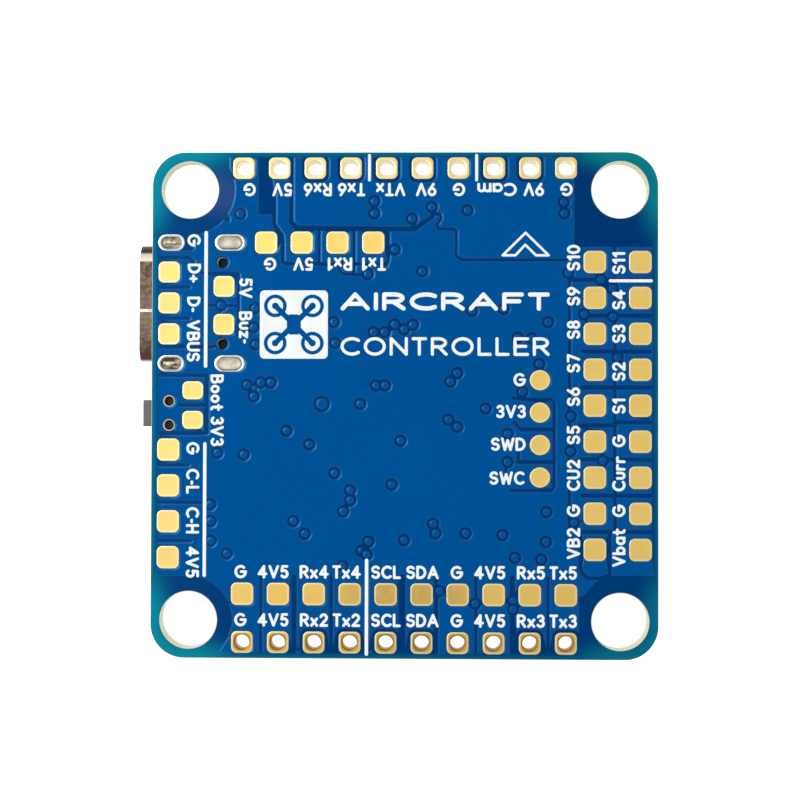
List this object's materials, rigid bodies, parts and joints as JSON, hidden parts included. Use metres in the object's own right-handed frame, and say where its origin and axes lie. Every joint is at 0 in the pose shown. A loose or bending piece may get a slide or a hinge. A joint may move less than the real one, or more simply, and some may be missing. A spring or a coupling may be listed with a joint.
{
  "type": "flight controller board",
  "caption": "Square multirotor flight controller circuit board with gold solder pads on one face, and chips, cable sockets, a USB port and a boot button on the other.",
  "frame": {"origin": "centre of the four mounting holes, on the laminate's solder-pad face", "axes": "+Z out of the solder-pad face, +Y towards the board's forward edge (the printed arrow), +X towards the right edge; the component face looks along -Z"},
  "size_m": [0.0371, 0.036, 0.0044],
  "materials": {
    "solder_mask": "gloss",
    "gold_pads": "satin",
    "tinned_slots": "satin",
    "usb_shell_steel": "satin",
    "usb_black": "matte",
    "contact_gold": "polished",
    "plate_steel": "satin",
    "solder": "satin",
    "button_black": "matte",
    "button_steel": "satin",
    "button_grey": "matte",
    "chip_black": "matte",
    "lead_tin": "satin",
    "substrate_green": "satin",
    "lid_nickel": "satin",
    "crystal_ceramic": "matte",
    "inductor_grey": "matte",
    "capacitor_tan": "satin",
    "resistor_black": "satin",
    "led_white": "matte",
    "led_resin": "gloss",
    "socket_ivory": "satin"
  },
  "bodies": {
    "board": {"circuit_board": "solder_mask", "edge_pads_front": "gold_pads", "edge_pads_rear": "gold_pads", "inner_pads_front": "gold_pads", "inner_pads_rear": "gold_pads", "pads_right_inner": "gold_pads", "pads_right_outer": "gold_pads", "pads_left_usb": "gold_pads", "pads_left_can": "gold_pads", "pads_left_boot": "gold_pads", "test_pads": "gold_pads", "usb_slot_plating": "tinned_slots", "usb_shell": "usb_shell_steel", "usb_insulator": "usb_black", "usb_contacts": "contact_gold", "usb_shield_plate": "plate_steel", "usb_leg_solder": "solder", "button_housing": "button_black", "button_cover": "button_steel", "button_dome": "button_steel", "button_terminals": "contact_gold", "mcu_package": "chip_black", "mcu_leads": "lead_tin", "osd_package": "chip_black", "osd_leads": "lead_tin", "flash_package": "chip_black", "flash_contacts": "lead_tin", "can_package": "chip_black", "can_leads": "lead_tin", "imu_package": "chip_black", "barometer_base": "substrate_green", "barometer_lid": "lid_nickel", "crystal_bases": "crystal_ceramic", "crystal_lids": "lid_nickel", "inductor_bodies": "inductor_grey", "inductor_terminals": "lead_tin", "buck_packages": "chip_black", "buck_leads": "lead_tin", "regulator_packages": "chip_black", "regulator_leads": "lead_tin", "transistor_packages": "chip_black", "transistor_leads": "lead_tin", "diode_bodies": "chip_black", "diode_leads": "lead_tin", "large_capacitors": "capacitor_tan", "small_capacitors": "capacitor_tan", "small_resistors": "resistor_black", "chip_end_caps": "lead_tin", "led_bases": "led_white", "led_lenses": "led_resin", "esc_socket_housing": "socket_ivory", "esc_socket_contacts": "lead_tin", "video_socket_housing": "socket_ivory", "video_socket_contacts": "lead_tin", "can_socket_housing": "socket_ivory", "can_socket_contacts": "lead_tin", "socket_solder_tabs": "lead_tin"},
    "button": {"button_plunger": "button_grey"}
  },
  "joints": [
    {"name": "button_press", "type": "slide", "parent": "board", "child": "button", "axis": [1, 0, 0], "range_m": [0, 0.00025], "stiffness_N_per_m": 6400, "deforming": ["button_dome"]}
  ]
}
